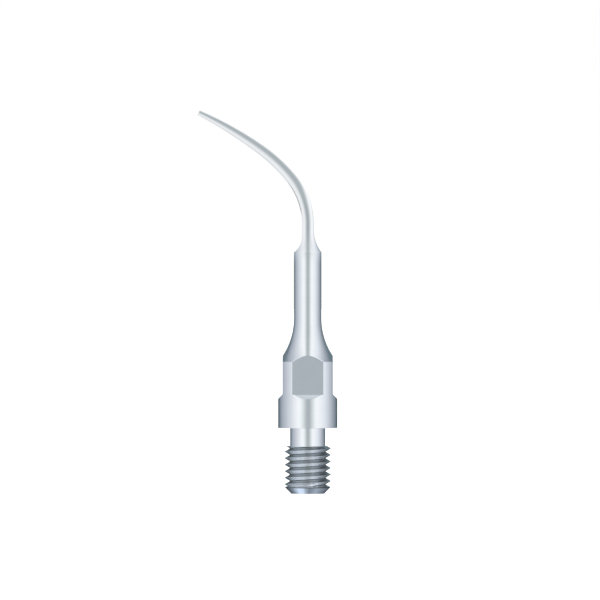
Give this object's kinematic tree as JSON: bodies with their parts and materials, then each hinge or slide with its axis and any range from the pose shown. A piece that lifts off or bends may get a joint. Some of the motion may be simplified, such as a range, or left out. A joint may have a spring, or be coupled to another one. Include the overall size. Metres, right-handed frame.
{
  "type": "ultrasonic scaler tip",
  "caption": "Screw-in steel tip for a dental ultrasonic scaler: bent, tapered working end, round shank, wrench flats, collar and fine male thread.",
  "frame": {"origin": "on the axis of the thread, in the plane of the thread's end face", "axes": "+Z along the thread's axis towards the working end, -X the way the working end bends, Y across the bend"},
  "size_m": [0.0107, 0.0046, 0.0294],
  "materials": {
    "stainless_steel": "bright turned and polished, with fine lathe lines and milled wrench flats"
  },
  "bodies": {
    "root": {"scaler_tip": "stainless_steel"}
  },
  "joints": []
}
